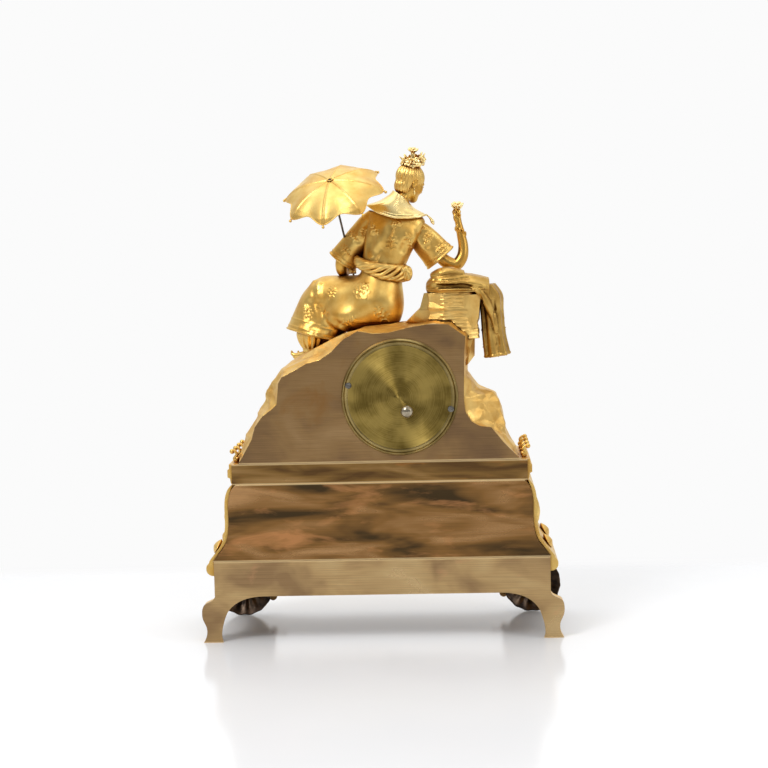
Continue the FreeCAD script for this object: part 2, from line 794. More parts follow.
def make_rear_ring():
    bead_back_y = drum_back_y + ring_bead_thickness
    inner = drum_outer_radius + running_gap
    bead_groove = (ring_outer_radius - ring_bead_inner_radius) / 4
    middle = (ring_outer_radius + ring_bead_inner_radius) / 2
    profile = [(inner, case_back_y), (ring_outer_radius, case_back_y), (ring_outer_radius, drum_back_y),
               (ring_outer_radius - bead_groove, bead_back_y), (middle + bead_groove / 2, bead_back_y),
               (middle, bead_back_y - ring_bead_thickness / 2), (middle - bead_groove / 2, bead_back_y),
               (ring_bead_inner_radius, bead_back_y), (ring_bead_inner_radius, drum_back_y),
               (inner, drum_back_y)]
    ring = turned(profile, drum_centre_x, drum_centre_z)
    for place in ring_screw_places():
        head = place + V(0, drum_back_y, 0)
        ring = ring.cut(rod(head, head + V(0, overrun, 0), screw_head_radius))
        ring = ring.cut(rod(head - V(0, overrun, 0), head, screw_shank_radius))
    return ring


def slotted_screw(head_seat, outward, shank_length, head_radius, slot_along):
    head = rod(head_seat, head_seat + outward * screw_head_height, head_radius)
    shank = rod(head_seat - outward * shank_length, head_seat, screw_shank_radius)
    across = outward.cross(slot_along)
    corner = head_seat + outward * (screw_head_height - screw_slot_depth)
    corner = corner - slot_along * (2 * head_radius) - across * (screw_slot_width / 2)
    slot = outline_face([corner, corner + slot_along * (4 * head_radius),
                         corner + slot_along * (4 * head_radius) + across * screw_slot_width,
                         corner + across * screw_slot_width]).extrude(outward * overrun)
    return fuse_all([head, shank]).cut(slot)


def make_case_screws():
    screws = []
    for place in ring_screw_places():
        seat = place + V(0, drum_back_y, 0)
        screws.append(slotted_screw(seat, V(0, 1, 0), ring_flange_thickness + back_plate_thickness,
                                    screw_head_radius, V(0.94, 0, 0.34).normalize()))
    for seat in base_screw_places():
        screws.append(slotted_screw(seat, V(0, 0, -1), base_screw_drop, base_screw_radius, V(1, 0, 0)))
    return Part.makeCompound(screws)


def make_back_cover():
    outer_y = drum_back_y + cover_thickness
    skirt_outer = drum_inner_radius - running_gap
    skirt_inner = skirt_outer - cover_skirt_wall
    skirt_end_y = drum_back_y - cover_skirt_depth
    profile = [(0, drum_back_y + cover_dish), (skirt_inner, drum_back_y), (skirt_inner, skirt_end_y),
               (skirt_outer, skirt_end_y), (skirt_outer, drum_back_y), (cover_radius, drum_back_y),
               (cover_radius, outer_y), (skirt_inner, outer_y), (0, outer_y + cover_dish)]
    cover = turned(profile, drum_centre_x, drum_centre_z)
    for place in ring_screw_places():
        start = place + V(0, drum_back_y - overrun, 0)
        notch = rod(start, start + V(0, 2 * overrun, 0), screw_head_radius + free_gap)
        cover = cover.cut(notch)
    return cover


def knob_base():
    away = math.hypot(knob_offset_x, knob_offset_z)
    dome = cover_dish * (1 - away / (drum_inner_radius - running_gap - cover_skirt_wall))
    return at_drum(knob_offset_x, knob_offset_z, drum_back_y + cover_thickness + dome)


def make_cover_knob():
    base = knob_base()
    outward = V(0, 1, 0)
    seat_end = base + outward * knob_seat_height
    neck_end = seat_end + outward * knob_neck_length
    centre = neck_end + outward * (knob_radius * 0.55)
    grip = ball(centre, knob_radius).common(rod(neck_end - outward * running_gap,
                                                centre + outward * (knob_radius * 0.62),
                                                knob_radius))
    body = fuse_all([rod(base - outward * cover_dish, seat_end, knob_seat_radius),
                     rod(seat_end, neck_end + outward * overrun / 2, knob_neck_radius), grip])
    return body.cut(make_back_cover())


def make_front_bezel():
    back_y = drum_front_y - hinge_gap
    front_y = back_y - bezel_depth
    lip_y = front_y + bezel_lip_thickness
    glass_back_y = lip_y + glass_thickness
    inner = dial_radius + free_gap
    glass_seat = glass_radius + running_gap
    middle = (bezel_outer_radius + bezel_inner_radius) / 2
    profile = [(inner, back_y), (bezel_outer_radius, back_y),
               (bezel_outer_radius, back_y - bezel_depth * 0.3),
               (bezel_outer_radius - bezel_depth * 0.12, back_y - bezel_depth * 0.6), (middle, front_y),
               (bezel_inner_radius, front_y), (bezel_inner_radius, lip_y), (glass_seat, lip_y),
               (glass_seat, glass_back_y), (inner, glass_back_y)]
    ring = turned(profile, drum_centre_x, drum_centre_z)
    low = hinge_point(-hinge_length / 4 + hinge_gap)
    high = hinge_point(hinge_length / 4 - hinge_gap)
    knuckle = rod(low, high, hinge_radius)
    arm = box(low.x, drum_centre_x - bezel_outer_radius + hinge_radius, low.y - hinge_radius, low.y,
              low.z, high.z)
    arm = arm.cut(drum_disc(inner + hinge_radius, case_front_y, drum_front_y))
    body = fuse_all([ring, knuckle, arm])
    return body.cut(rod(low - V(0, 0, overrun), high + V(0, 0, overrun), hinge_pin_radius + running_gap))


def make_dial_glass():
    front_y = drum_front_y - hinge_gap - bezel_depth + bezel_lip_thickness
    return drum_disc(glass_radius, front_y, front_y + glass_thickness)


def make_dial_plate():
    dial = drum_disc(dial_radius, dial_front_y, drum_front_y)
    dial = dial.cut(drum_disc(hand_boss_radius - free_gap, dial_front_y - overrun, drum_front_y + overrun))
    for across, up in (going_barrel_place, strike_barrel_place):
        hole = rod(at_drum(across, up, dial_front_y - overrun), at_drum(across, up, drum_front_y + overrun),
                   winding_square)
        dial = dial.cut(hole)
    return dial


def hand_face(length):
    # A pear-shaped hand: a stem, a pierced drop near its end and a fine point.
    stem = hand_stem_width / 2
    drop = length * 0.12
    outline_shares = [(0, stem), (0.52, stem), (0.6, drop * 0.7), (0.68, drop), (0.76, drop * 0.75),
                      (0.83, stem),
                      (1, stem / 3)]
    right = [V(half, 0, length * along) for along, half in outline_shares]
    left = [V(-point.x, 0, point.z) for point in reversed(right)]
    face = outline_face(right + left)
    eye = Part.Face(Part.Wire([Part.makeCircle(drop * 0.5, V(0, 0, length * 0.68), V(0, 1, 0))]))
    return face.cut(eye)


def make_hand(length, turn, front_y, bore):
    blade = hand_face(length).extrude(V(0, hand_thickness, 0))
    blade.rotate(V(0, 0, 0), V(0, 1, 0), turn)
    blade.translate(at_drum(0, 0, front_y))
    hub = drum_disc(hand_boss_radius, front_y, front_y + hand_thickness)
    return fuse_all([blade, hub]).cut(drum_disc(bore, front_y - overrun, front_y + overrun))


# Movement: places are (across, up) pairs from the drum's axis

def stepped_place(start, distance, angle):
    turn = math.radians(angle)
    return (start[0] + distance * math.cos(turn), start[1] + distance * math.sin(turn))


def mesh_distance(teeth, other_teeth, module):
    return (teeth + other_teeth) * module / 2


centre_place = (0.0, 0.0)
intermediate_place = stepped_place(centre_place,
                                   mesh_distance(intermediate_teeth, leaf_count, train_module),
                                   centre_angle - 180)
third_place = stepped_place(centre_place, mesh_distance(centre_teeth, leaf_count, train_module),
                            third_angle)
escape_place = (0.0, escape_drop)
strike_second_place = stepped_place(strike_barrel_place,
                                    mesh_distance(barrel_teeth, great_pinion_teeth, train_module),
                                    strike_second_angle)
pin_wheel_place = stepped_place(strike_second_place,
                                mesh_distance(strike_second_teeth, leaf_count, train_module),
                                pin_wheel_angle)
fly_place = stepped_place(pin_wheel_place, mesh_distance(pin_wheel_teeth, leaf_count, fine_module),
                          fly_angle)
minute_wheel_place = (0.0, -mesh_distance(cannon_teeth, minute_wheel_teeth, fine_module))
hour_module = 2 * mesh_distance(cannon_teeth, minute_wheel_teeth,
                                fine_module) / (leaf_count + hour_wheel_teeth)
pallet_place = (0.0, pallet_height)


def level_y(level):
    return front_plate_inner_y + level


def bearing(start, end):
    return math.atan2(end[1] - start[1], end[0] - start[0])


def tooth_half_angle(teeth, module, radius):
    pitch_radius = teeth * module / 2
    slope = math.radians(pressure_angle)
    base_radius = pitch_radius * math.cos(slope)
    half_at_pitch = tooth_thickness_share * math.pi * module / (2 * pitch_radius)
    widest = half_at_pitch + math.tan(slope) - slope
    if radius <= base_radius:
        return widest
    local = math.acos(base_radius / radius)
    return widest - (math.tan(local) - local)


def gear(teeth, module, place, phase, y_low, thickness):
    pitch_radius = teeth * module / 2
    root = pitch_radius - tooth_dedendum_share * module
    tip = pitch_radius + tooth_addendum_share * module
    radii = [root, (root + pitch_radius) / 2, pitch_radius, tip]
    points = []
    for tooth in range(teeth):
        middle = phase + 2 * math.pi * tooth / teeth
        flank = [(radius, tooth_half_angle(teeth, module, radius)) for radius in radii]
        turns = [(radius, middle - half) for radius, half in flank]
        turns += [(radius, middle + half) for radius, half in reversed(flank)]
        points += [at_drum(place[0] + radius * math.cos(turn), place[1] + radius * math.sin(turn), y_low)
                   for radius, turn in turns]
    return outline_face(points).extrude(V(0, thickness, 0))


def driving_gear(teeth, module, place, partner, level, thickness=wheel_thickness):
    # One tooth points at the partner's centre.
    return gear(teeth, module, place, bearing(place, partner), level_y(level), thickness)


def driven_gear(teeth, module, place, partner, level, thickness=pinion_length):
    # One gap points at the partner's centre, so the pair is in mesh.
    return gear(teeth, module, place, bearing(place, partner) + math.pi / teeth, level_y(level), thickness)


def spaced_rod(place, y_low, y_high, radius):
    return rod(at_drum(place[0], place[1], y_low), at_drum(place[0], place[1], y_high), radius)


def arbor(place, front_y=None, back_y=None):
    # A steel arbor with a pivot in each plate; a given end runs on at full size through its plate.
    parts = [spaced_rod(place, front_plate_inner_y + end_shake, back_plate_inner_y - end_shake,
                        arbor_radius)]
    if front_y is None:
        parts.append(spaced_rod(place, movement_front_y, back_plate_inner_y - end_shake, pivot_radius))
    else:
        parts.append(spaced_rod(place, front_y, back_plate_inner_y - end_shake, arbor_radius))
    if back_y is None:
        parts.append(spaced_rod(place, front_plate_inner_y + end_shake, movement_back_y, pivot_radius))
    else:
        parts.append(spaced_rod(place, front_plate_inner_y + end_shake, back_y, arbor_radius))
    return parts


def plain_pivots():
    return [intermediate_place, third_place, escape_place, strike_second_place, pin_wheel_place, fly_place]


def pivot_hole(place, radius):
    return spaced_rod(place, movement_front_y - overrun, movement_back_y + overrun, radius + running_gap)


def make_front_movement_plate():
    plate = drum_disc(movement_plate_radius, movement_front_y, front_plate_inner_y)
    stud_length = drum_front_y - movement_front_y
    stud = spaced_rod(minute_wheel_place, movement_front_y + stud_length * 0.92, front_plate_inner_y,
                      barrel_arbor_radius * 0.4)
    shoulder = spaced_rod(minute_wheel_place, movement_front_y + stud_length * 0.4, front_plate_inner_y,
                          barrel_arbor_radius * 0.8)
    holes = [pivot_hole(place, pivot_radius) for place in plain_pivots() + [pallet_place, hammer_place]]
    holes += [pivot_hole(place, barrel_arbor_radius) for place in (going_barrel_place, strike_barrel_place)]
    holes.append(pivot_hole(centre_place, arbor_radius))
    return fuse_all([plate, stud, shoulder]).cut(Part.makeCompound(holes))


def make_back_movement_plate():
    plate = drum_disc(movement_plate_radius, back_plate_inner_y, movement_back_y)
    holes = [pivot_hole(place, pivot_radius) for place in plain_pivots() + [centre_place]]
    holes += [pivot_hole(place, barrel_arbor_radius) for place in (going_barrel_place, strike_barrel_place)]
    holes += [pivot_hole(place, arbor_radius) for place in (pallet_place, hammer_place)]
    return plate.cut(Part.makeCompound(holes))


def make_movement_pillars():
    return Part.makeCompound([spaced_rod(place, front_plate_inner_y, back_plate_inner_y, pillar_radius)
                              for place in pillar_places])


def make_barrel(place, partner):
    drum = spaced_rod(place, level_y(barrel_drum_level), level_y(barrel_wheel_level), barrel_drum_radius)
    wheel = driving_gear(barrel_teeth, train_module, place, partner, barrel_wheel_level)
    return fuse_all([drum, wheel]).cut(pivot_hole(place, barrel_arbor_radius))


def make_winding_arbor(place):
    square_end_y = dial_front_y - dial_thickness
    half = winding_square / 2
    stem = spaced_rod(place, movement_front_y - dial_thickness, movement_back_y, barrel_arbor_radius)
    corner = at_drum(place[0], place[1], 0)
    square = box(corner.x - half, corner.x + half, square_end_y, movement_front_y - dial_thickness / 2,
                 corner.z - half, corner.z + half)
    collar_radius = barrel_arbor_radius * 1.5
    front_collar = spaced_rod(place, front_plate_inner_y + end_shake,
                              level_y(barrel_drum_level) - end_shake,
                              collar_radius)
    back_collar_y = level_y(barrel_wheel_level) + wheel_thickness + end_shake
    back_collar = spaced_rod(place, back_collar_y, back_collar_y + wheel_thickness, collar_radius)
    return fuse_all([stem, square, front_collar, back_collar])


def make_intermediate_wheel():
    pinion = driven_gear(great_pinion_teeth, train_module, intermediate_place, going_barrel_place,
                         great_pinion_level)
    wheel = driving_gear(intermediate_teeth, train_module, intermediate_place, centre_place,
                         intermediate_level)
    return fuse_all(arbor(intermediate_place) + [pinion, wheel])


def cannon_y():
    return movement_front_y - pinion_length / 2 - pivot_radius


def make_centre_wheel():
    pinion = driven_gear(leaf_count, train_module, centre_place, intermediate_place, centre_pinion_level)
    wheel = driving_gear(centre_teeth, train_module, centre_place, third_place, centre_level)
    cannon = gear(cannon_teeth, fine_module, centre_place, bearing(centre_place, minute_wheel_place),
                  cannon_y() - pinion_length * 0.65, pinion_length * 0.65)
    return fuse_all(arbor(centre_place, front_y=minute_hand_y() - free_gap) + [pinion, wheel, cannon])


def make_third_wheel():
    pinion = driven_gear(leaf_count, train_module, third_place, centre_place, third_pinion_level)
    wheel = driving_gear(third_teeth, fine_module, third_place, escape_place, third_level)
    return fuse_all(arbor(third_place) + [pinion, wheel])


def make_escape_wheel():
    pinion = driven_gear(leaf_count, fine_module, escape_place, third_place, escape_pinion_level)
    points = []
    for tooth in range(escape_teeth):
        start = 2 * math.pi * tooth / escape_teeth
        for radius, turn in ((escape_radius, start),
                             (escape_radius * escape_root_share, start + math.pi / escape_teeth)):
            points.append(at_drum(escape_place[0] + radius * math.cos(turn),
                                  escape_place[1] + radius * math.sin(turn),
                                  level_y(escape_level)))
    wheel = outline_face(points).extrude(V(0, wheel_thickness, 0))
    return fuse_all(arbor(escape_place) + [pinion, wheel])


def crutch_y():
    return movement_back_y + pendulum_plane * 0.3


def make_anchor():
    # The pallet anchor spans the escape wheel; its crutch hangs behind the back plate.
    reach = escape_radius * 1.13
    rise = pallet_height - escape_drop
    arch_shares = [(-0.85, 0.5), (-0.6, 0.92), (0, 1.2), (0.6, 0.92), (0.85, 0.5), (0.74, 0.42), (0.5, 0.7),
                   (0, 0.88), (-0.5, 0.7), (-0.74, 0.42)]
    points = [at_drum(reach * across * 1.15, escape_drop + rise * up, level_y(escape_level))
              for across, up in arch_shares]
    arch = outline_face(points).extrude(V(0, wheel_thickness, 0))
    collar = spaced_rod(pallet_place, level_y(escape_level), level_y(escape_level) + wheel_thickness,
                        2 * arbor_radius)
    shaft = arbor(pallet_place, back_y=crutch_y() + wheel_thickness)
    crutch_low = pallet_height - crutch_length
    arm = box(drum_centre_x - arbor_radius, drum_centre_x + arbor_radius, crutch_y(),
              crutch_y() + wheel_thickness,
              drum_centre_z + crutch_low, drum_centre_z + pallet_height)
    spread = pendulum_rod_radius + crutch_pin_radius + running_gap
    foot = box(drum_centre_x - spread - crutch_pin_radius, drum_centre_x + spread + crutch_pin_radius,
               crutch_y(),
               crutch_y() + wheel_thickness, drum_centre_z + crutch_low - arbor_radius,
               drum_centre_z + crutch_low + arbor_radius)
    pins = [spaced_rod((side * spread, crutch_low), crutch_y(), pendulum_y + pendulum_rod_radius,
                       crutch_pin_radius)
            for side in (1, -1)]
    return fuse_all(shaft + [arch, collar, arm, foot] + pins)


def make_pendulum_cock():
    hole_radius = crutch_pin_radius + running_gap
    top_low = pallet_height + cock_height + arbor_radius
    block = box(drum_centre_x - cock_width / 2, drum_centre_x + cock_width / 2, movement_back_y,
                pendulum_y + pendulum_rod_radius + free_gap + cock_lug_thickness, drum_centre_z + top_low,
                drum_centre_z + top_low + cock_height)
    legs = []
    for side in (1, -1):
        outer = drum_centre_x + side * cock_width / 2
        inner = drum_centre_x + side * (cock_width / 2 - cock_height)
        legs.append(box(min(inner, outer), max(inner, outer), movement_back_y,
                        movement_back_y + 2 * cock_lug_thickness,
                        drum_centre_z + pallet_height - cock_height, drum_centre_z + top_low))
    lugs = []
    for side in (1, -1):
        near = pendulum_y + side * (pendulum_rod_radius + free_gap)
        far = near + side * cock_lug_thickness
        lugs.append(box(drum_centre_x - cock_lug_width / 2, drum_centre_x + cock_lug_width / 2,
                        min(near, far),
                        max(near, far), drum_centre_z + pallet_height - cock_height,
                        drum_centre_z + top_low))
    return fuse_all([block] + legs + lugs).cut(spaced_rod(pallet_place, crutch_y() + 2 * wheel_thickness,
                                                          pendulum_y + overrun, hole_radius))


def bob_centre_z():
    return drum_centre_z + pallet_height - pendulum_length


def make_pendulum_rod():
    lug_outer = pendulum_rod_radius + free_gap + cock_lug_thickness
    pin = spaced_rod(pallet_place, pendulum_y - lug_outer, pendulum_y + lug_outer, crutch_pin_radius)
    eye_half = pendulum_rod_radius * 0.8
    eye = spaced_rod(pallet_place, pendulum_y - eye_half, pendulum_y + eye_half, cock_height - free_gap)
    low_z = bob_centre_z() - bob_radius
    end = V(drum_centre_x, pendulum_y, low_z - rating_nut_height * 1.5)
    nut_top = V(drum_centre_x, pendulum_y, low_z)
    stem = rod(end, at_drum(0, pallet_height - cock_height / 2, pendulum_y), pendulum_rod_radius)
    nut = rod(nut_top - V(0, 0, rating_nut_height), nut_top, rating_nut_radius)
    return fuse_all([pin, eye, stem, nut])


def make_pendulum_bob():
    half = bob_thickness / 2
    lens_shares = [(0, -1), (0.6, -0.78), (1, -0.25), (1, 0.25), (0.6, 0.78), (0, 1)]
    profile = [(bob_radius * out, pendulum_y + half * back) for out, back in lens_shares]
    lens = turned(profile, drum_centre_x, bob_centre_z())
    top = V(drum_centre_x, pendulum_y, bob_centre_z() + bob_radius + overrun)
    return lens.cut(rod(top - V(0, 0, 2 * (bob_radius + overrun)), top, pendulum_rod_radius))


def make_minute_wheel():
    wheel_y = cannon_y() - wheel_thickness * 1.2
    wheel = gear(minute_wheel_teeth, fine_module, minute_wheel_place,
                 bearing(minute_wheel_place, centre_place) + math.pi / minute_wheel_teeth,
                 wheel_y - wheel_thickness / 2,
                 wheel_thickness)
    pinion_y = drum_front_y + dial_thickness * 0.8
    pinion = gear(leaf_count, hour_module, minute_wheel_place,
                  bearing(minute_wheel_place, centre_place), pinion_y,
                  wheel_y - pinion_y)
    bore = spaced_rod(minute_wheel_place, drum_front_y, front_plate_inner_y,
                      barrel_arbor_radius * 0.4 + running_gap)
    return fuse_all([wheel, pinion]).cut(bore)


def minute_hand_y():
    return hour_hand_y() - 3 * hand_thickness


def hour_hand_y():
    return dial_front_y - 4 * hand_thickness


def hour_pipe_radius():
    return barrel_arbor_radius


def make_hour_wheel():
    back_y = cannon_y() - pinion_length * 0.65 - end_shake
    wheel = gear(hour_wheel_teeth, hour_module, centre_place,
                 bearing(centre_place, minute_wheel_place) + math.pi / hour_wheel_teeth,
                 back_y - wheel_thickness * 0.7,
                 wheel_thickness * 0.7)
    pipe = spaced_rod(centre_place, hour_hand_y(), back_y, hour_pipe_radius())
    bore = spaced_rod(centre_place, hour_hand_y() - overrun, back_y + overrun, arbor_radius + running_gap)
    return fuse_all([wheel, pipe]).cut(bore)


def make_strike_wheel():
    pinion = driven_gear(great_pinion_teeth, train_module, strike_second_place, strike_barrel_place,
                         great_pinion_level)
    wheel = driving_gear(strike_second_teeth, train_module, strike_second_place, pin_wheel_place,
                         intermediate_level)
    return fuse_all(arbor(strike_second_place) + [pinion, wheel])


def make_pin_wheel():
    pinion = driven_gear(leaf_count, train_module, pin_wheel_place, strike_second_place,
                         centre_pinion_level)
    wheel = driving_gear(pin_wheel_teeth, fine_module, pin_wheel_place, fly_place, pin_wheel_level)
    pins = []
    for step in range(leaf_count):
        place = stepped_place(pin_wheel_place, pin_wheel_teeth * fine_module * 0.4, step * 360 / leaf_count)
        pins.append(spaced_rod(place, level_y(pin_wheel_level) + wheel_thickness / 2,
                               level_y(pin_wheel_level) + 2 * wheel_thickness, pivot_radius / 2))
    return fuse_all(arbor(pin_wheel_place) + [pinion, wheel] + pins)


def make_fly():
    pinion = driven_gear(leaf_count, fine_module, fly_place, pin_wheel_place,
                         pin_wheel_level - wheel_thickness)
    corner = at_drum(fly_place[0], fly_place[1], 0)
    vane = box(corner.x - fly_radius, corner.x + fly_radius, level_y(fly_vane_level),
               level_y(fly_vane_level + fly_vane_length), corner.z - pivot_radius / 2,
               corner.z + pivot_radius / 2)
    return fuse_all(arbor(fly_place) + [pinion, vane])


def hammer_y():
    return movement_back_y + bell_standoff + hammer_head_radius * 0.6


def make_hammer():
    head = at_drum(hammer_head_place[0], hammer_head_place[1], hammer_y())
    pivot = at_drum(hammer_place[0], hammer_place[1], hammer_y())
    arm = rod(pivot, head, hammer_arm_radius)
    end = spaced_rod(hammer_place, hammer_y() - hammer_arm_radius, hammer_y() + hammer_arm_radius,
                     2 * hammer_arm_radius)
    face = rod(head - V(hammer_head_radius, 0, 0), head + V(hammer_head_radius, 0, 0),
               hammer_head_radius * 0.8)
    return fuse_all(arbor(hammer_place, back_y=hammer_y()) + [arm, end, face])


def make_bell():
    rim_y = movement_back_y + bell_standoff
    outer_shares = [(1, 0), (0.97, 0.26), (0.86, 0.62), (0.6, 0.9), (0.28, 1), (0, 1)]
    inner_radius = bell_radius - bell_wall
    inner_depth = bell_depth - bell_wall
    outer = turned([(0, rim_y)] + [(bell_radius * out, rim_y + bell_depth * back)
                                   for out, back in outer_shares],
                   drum_centre_x + bell_place[0], drum_centre_z + bell_place[1])
    inner = turned([(0, rim_y)] + [(inner_radius * out, rim_y + inner_depth * back)
                                   for out, back in outer_shares],
                   drum_centre_x + bell_place[0], drum_centre_z + bell_place[1])
    bore = spaced_rod(bell_place, rim_y, rim_y + bell_depth + overrun, arbor_radius)
    return outer.cut(inner).cut(bore)


def make_bell_stand():
    crown_y = movement_back_y + bell_standoff + bell_depth
    post = spaced_rod(bell_place, movement_back_y, crown_y - bell_wall, bell_post_radius)
    thread = spaced_rod(bell_place, movement_back_y, crown_y + bell_nut_height, arbor_radius)
    nut = spaced_rod(bell_place, crown_y, crown_y + bell_nut_height, bell_nut_radius)
    foot = spaced_rod(bell_place, movement_back_y, movement_back_y + bell_wall, 2 * bell_post_radius)
    return fuse_all([post, thread, nut, foot])


# Seated figure

level_side = V(1, 0, 0)
level_back = V(0, 1, 0)
straight_up = V(0, 0, 1)


def level_oval(centre, half_width, half_depth):
    return oval(centre, level_side, level_back, half_width, half_depth)


def make_robe_skirt():
    seat = V(hip_centre.x, hip_centre.y, hip_centre.z - hip_half_depth)
    lap = [level_oval(seat, hip_half_width * 0.8, hip_half_depth * 0.8),
           level_oval(hip_centre, hip_half_width, hip_half_depth),
           level_oval(waist_centre, waist_half_width, waist_half_depth)]
    hips = Part.makeLoft(lap, True)
    run = (knee_centre - hip_centre).normalize()
    across = straight_up.cross(run).normalize()
    thigh = Part.makeLoft([
        oval(hip_centre - V(0, 0, sash_radius / 2), across, straight_up, hip_half_depth * 0.9,
             thigh_half_height * 0.9),
        oval(thigh_centre, across, straight_up, thigh_half_depth, thigh_half_height),
        oval(knee_centre, across, straight_up, knee_half_depth, knee_half_height),
        oval(knee_centre + run * (knee_half_depth * 0.4), across, straight_up, knee_half_depth * 0.6,
             knee_half_height * 0.6)], True)
    fall = (hem_centre - knee_centre).normalize()
    fall_side = fall.cross(across).normalize()
    shin = Part.makeLoft([
        oval(knee_centre + V(0, 0, knee_half_height * 0.3), fall_side, across, knee_half_height * 0.7,
             knee_half_depth * 0.8),
        oval((knee_centre + hem_centre) * 0.5, fall_side, across, hem_half_length * 0.9, hem_half_depth),
        oval(hem_centre, fall_side, across, hem_half_length, hem_half_depth)], True)
    return fuse_all([hips, thigh, shin]).cut(rock_block())


def make_robe_torso(skirt):
    torso = Part.makeLoft([
        level_oval(waist_centre - V(0, 0, sash_radius), waist_half_width, waist_half_depth),
        level_oval(waist_centre + V(0, 0, sash_radius), waist_half_width * 0.95, waist_half_depth),
        level_oval(chest_centre, chest_half_width, chest_half_depth),
        level_oval(shoulder_centre, shoulder_half_width, shoulder_half_depth),
        level_oval(neck_base, neck_radius * 1.9, neck_radius * 1.6)], True)
    return torso.cut(skirt)


def make_sash(torso, skirt):
    # A twisted girdle round the waist, with its knot at the right of the back.
    heights = [(-1.3, 0.25), (-0.7, 0.8), (0, 1), (0.7, 0.8), (1.3, 0.25)]
    rings = [level_oval(waist_centre + V(0, 0, sash_radius * up), waist_half_width + sash_radius * out,
                        waist_half_depth + sash_radius * out) for up, out in heights]
    knot = ball(waist_centre + V(-waist_half_width, waist_half_depth * 0.5, -sash_radius * 0.3),
                sash_knot_radius)
    return fuse_all([Part.makeLoft(rings, True), knot]).cut(torso).cut(skirt)


def make_head():
    tall = FreeCAD.Matrix()
    tall.scale(1, 1.06, 1.14)
    skull = ball(V(0, 0, 0), head_radius).transformGeometry(tall)
    skull.translate(head_centre)
    neck = taper(neck_base - V(0, 0, neck_radius), head_centre, neck_radius * 1.15, neck_radius * 0.9)
    bun = ball(wreath_centre, bun_radius)
    return fuse_all([skull, neck, bun])


def make_hair_flowers(head):
    blooms = []
    for step in range(wreath_bloom_count):
        turn = 2 * math.pi * step / wreath_bloom_count
        place = wreath_centre + V(wreath_radius * math.cos(turn), wreath_radius * math.sin(turn), 0)
        blooms.append(ball(place, wreath_bloom_radius))
    blooms.append(ball(wreath_centre + V(0, 0, crown_bloom_lift), crown_bloom_radius))
    stem = rod(wreath_centre, wreath_centre + V(0, 0, crown_bloom_lift), crown_bloom_radius / 2)
    return fuse_all(blooms + [stem]).cut(head)


def make_cape_collar(torso, head):
    slope = V(-0.19, 0.1, 0.98).normalize()
    side = level_back.cross(slope).normalize()
    back = slope.cross(side).normalize()
    middle = (shoulder_centre + neck_base) * 0.5 + V(-collar_thickness / 2, 0, 0)
    rings = [
        oval(middle - slope * (2 * collar_thickness), side, back, collar_reach * 0.92, collar_reach * 0.6),
        oval(middle - slope * collar_thickness, side, back, collar_reach * 0.92, collar_reach * 0.61),
        oval(middle + slope * collar_thickness, side, back, collar_reach * 0.55, collar_reach * 0.42),
        oval(middle + slope * (3 * collar_thickness), side, back, neck_radius * 1.5, neck_radius * 1.4)]
    return Part.makeLoft(rings, True).cut(torso).cut(head)


def make_arm(shoulder, elbow, bend, hand, rods):
    # A wide sleeve down to the elbow, then the forearm and the hand.
    run = (elbow - shoulder).normalize()
    across = run.cross(level_back).normalize()
    depth = run.cross(across).normalize()
    top = shoulder + run * (sleeve_shoulder_radius * 0.8)
    sleeve = Part.makeLoft([
        oval(shoulder, across, depth, sleeve_shoulder_radius * 0.8, sleeve_shoulder_radius * 0.8),
        oval(top, across, depth, sleeve_shoulder_radius, sleeve_shoulder_radius),
        oval(elbow, across, depth, sleeve_hem_radius, sleeve_hem_depth)], True)
    forearm = limb([(elbow - run * forearm_radius, forearm_radius), (bend, forearm_radius),
                    (hand, wrist_radius)])
    body = fuse_all([sleeve, forearm, ball(hand, hand_radius)])
    for other in rods:
        body = body.cut(other)
    return body


def make_legs(skirt):
    # The gathered trouser leg and the slipper with its turned-up toe.
    trouser = limb([(ankle_left + V(0, 0, ankle_radius), ankle_radius), (ankle_left, ankle_radius * 0.85)])
    foot = limb([(slipper_heel, slipper_radius), ((slipper_heel + slipper_toe) * 0.5, slipper_radius),
                 (slipper_toe, toe_radius), (slipper_toe + V(toe_radius, 0, 2 * toe_radius), toe_radius)])
    return fuse_all([trouser, foot]).cut(skirt).cut(rock_block())


def make_hand_flower(hand):
    # A cup of petals. Their tips reach further out than the folds between them.
    centre = right_hand + V(0, 0, hand_radius * 0.8)
    rings = []
    for up_share, tip_share, fold_share in flower_shares:
        ring = []
        for step in range(2 * petal_count):
            turn = math.pi * step / petal_count
            reach = flower_radius * (tip_share if step % 2 else fold_share)
            ring.append(centre + V(math.cos(turn) * reach, math.sin(turn) * reach,
                                   flower_height * up_share))
        rings.append(ring)
    return faceted(rings).cut(hand)


def parasol_frame():
    axis = V(parasol_axis).normalize()
    side = V(1, 0, 0) - axis * axis.x
    side = side.normalize()
    rise = axis.cross(side)
    return axis, side, rise


def parasol_ring(radius, drop, sag_share, edge_lift=0.0):
    # Ribs take the even points; the cloth between two ribs takes the odd ones.
    axis, side, rise = parasol_frame()
    points = []
    for step in range(2 * parasol_rib_count):
        turn = math.radians(parasol_first_rib) + math.pi * step / parasol_rib_count
        between = step % 2 == 1
        reach = radius * (sag_share if between else 1.0)
        down = drop - (edge_lift if between else 0.0)
        points.append(hub_centre + (side * math.cos(turn) + rise * math.sin(turn)) * reach - axis * down)
    return points


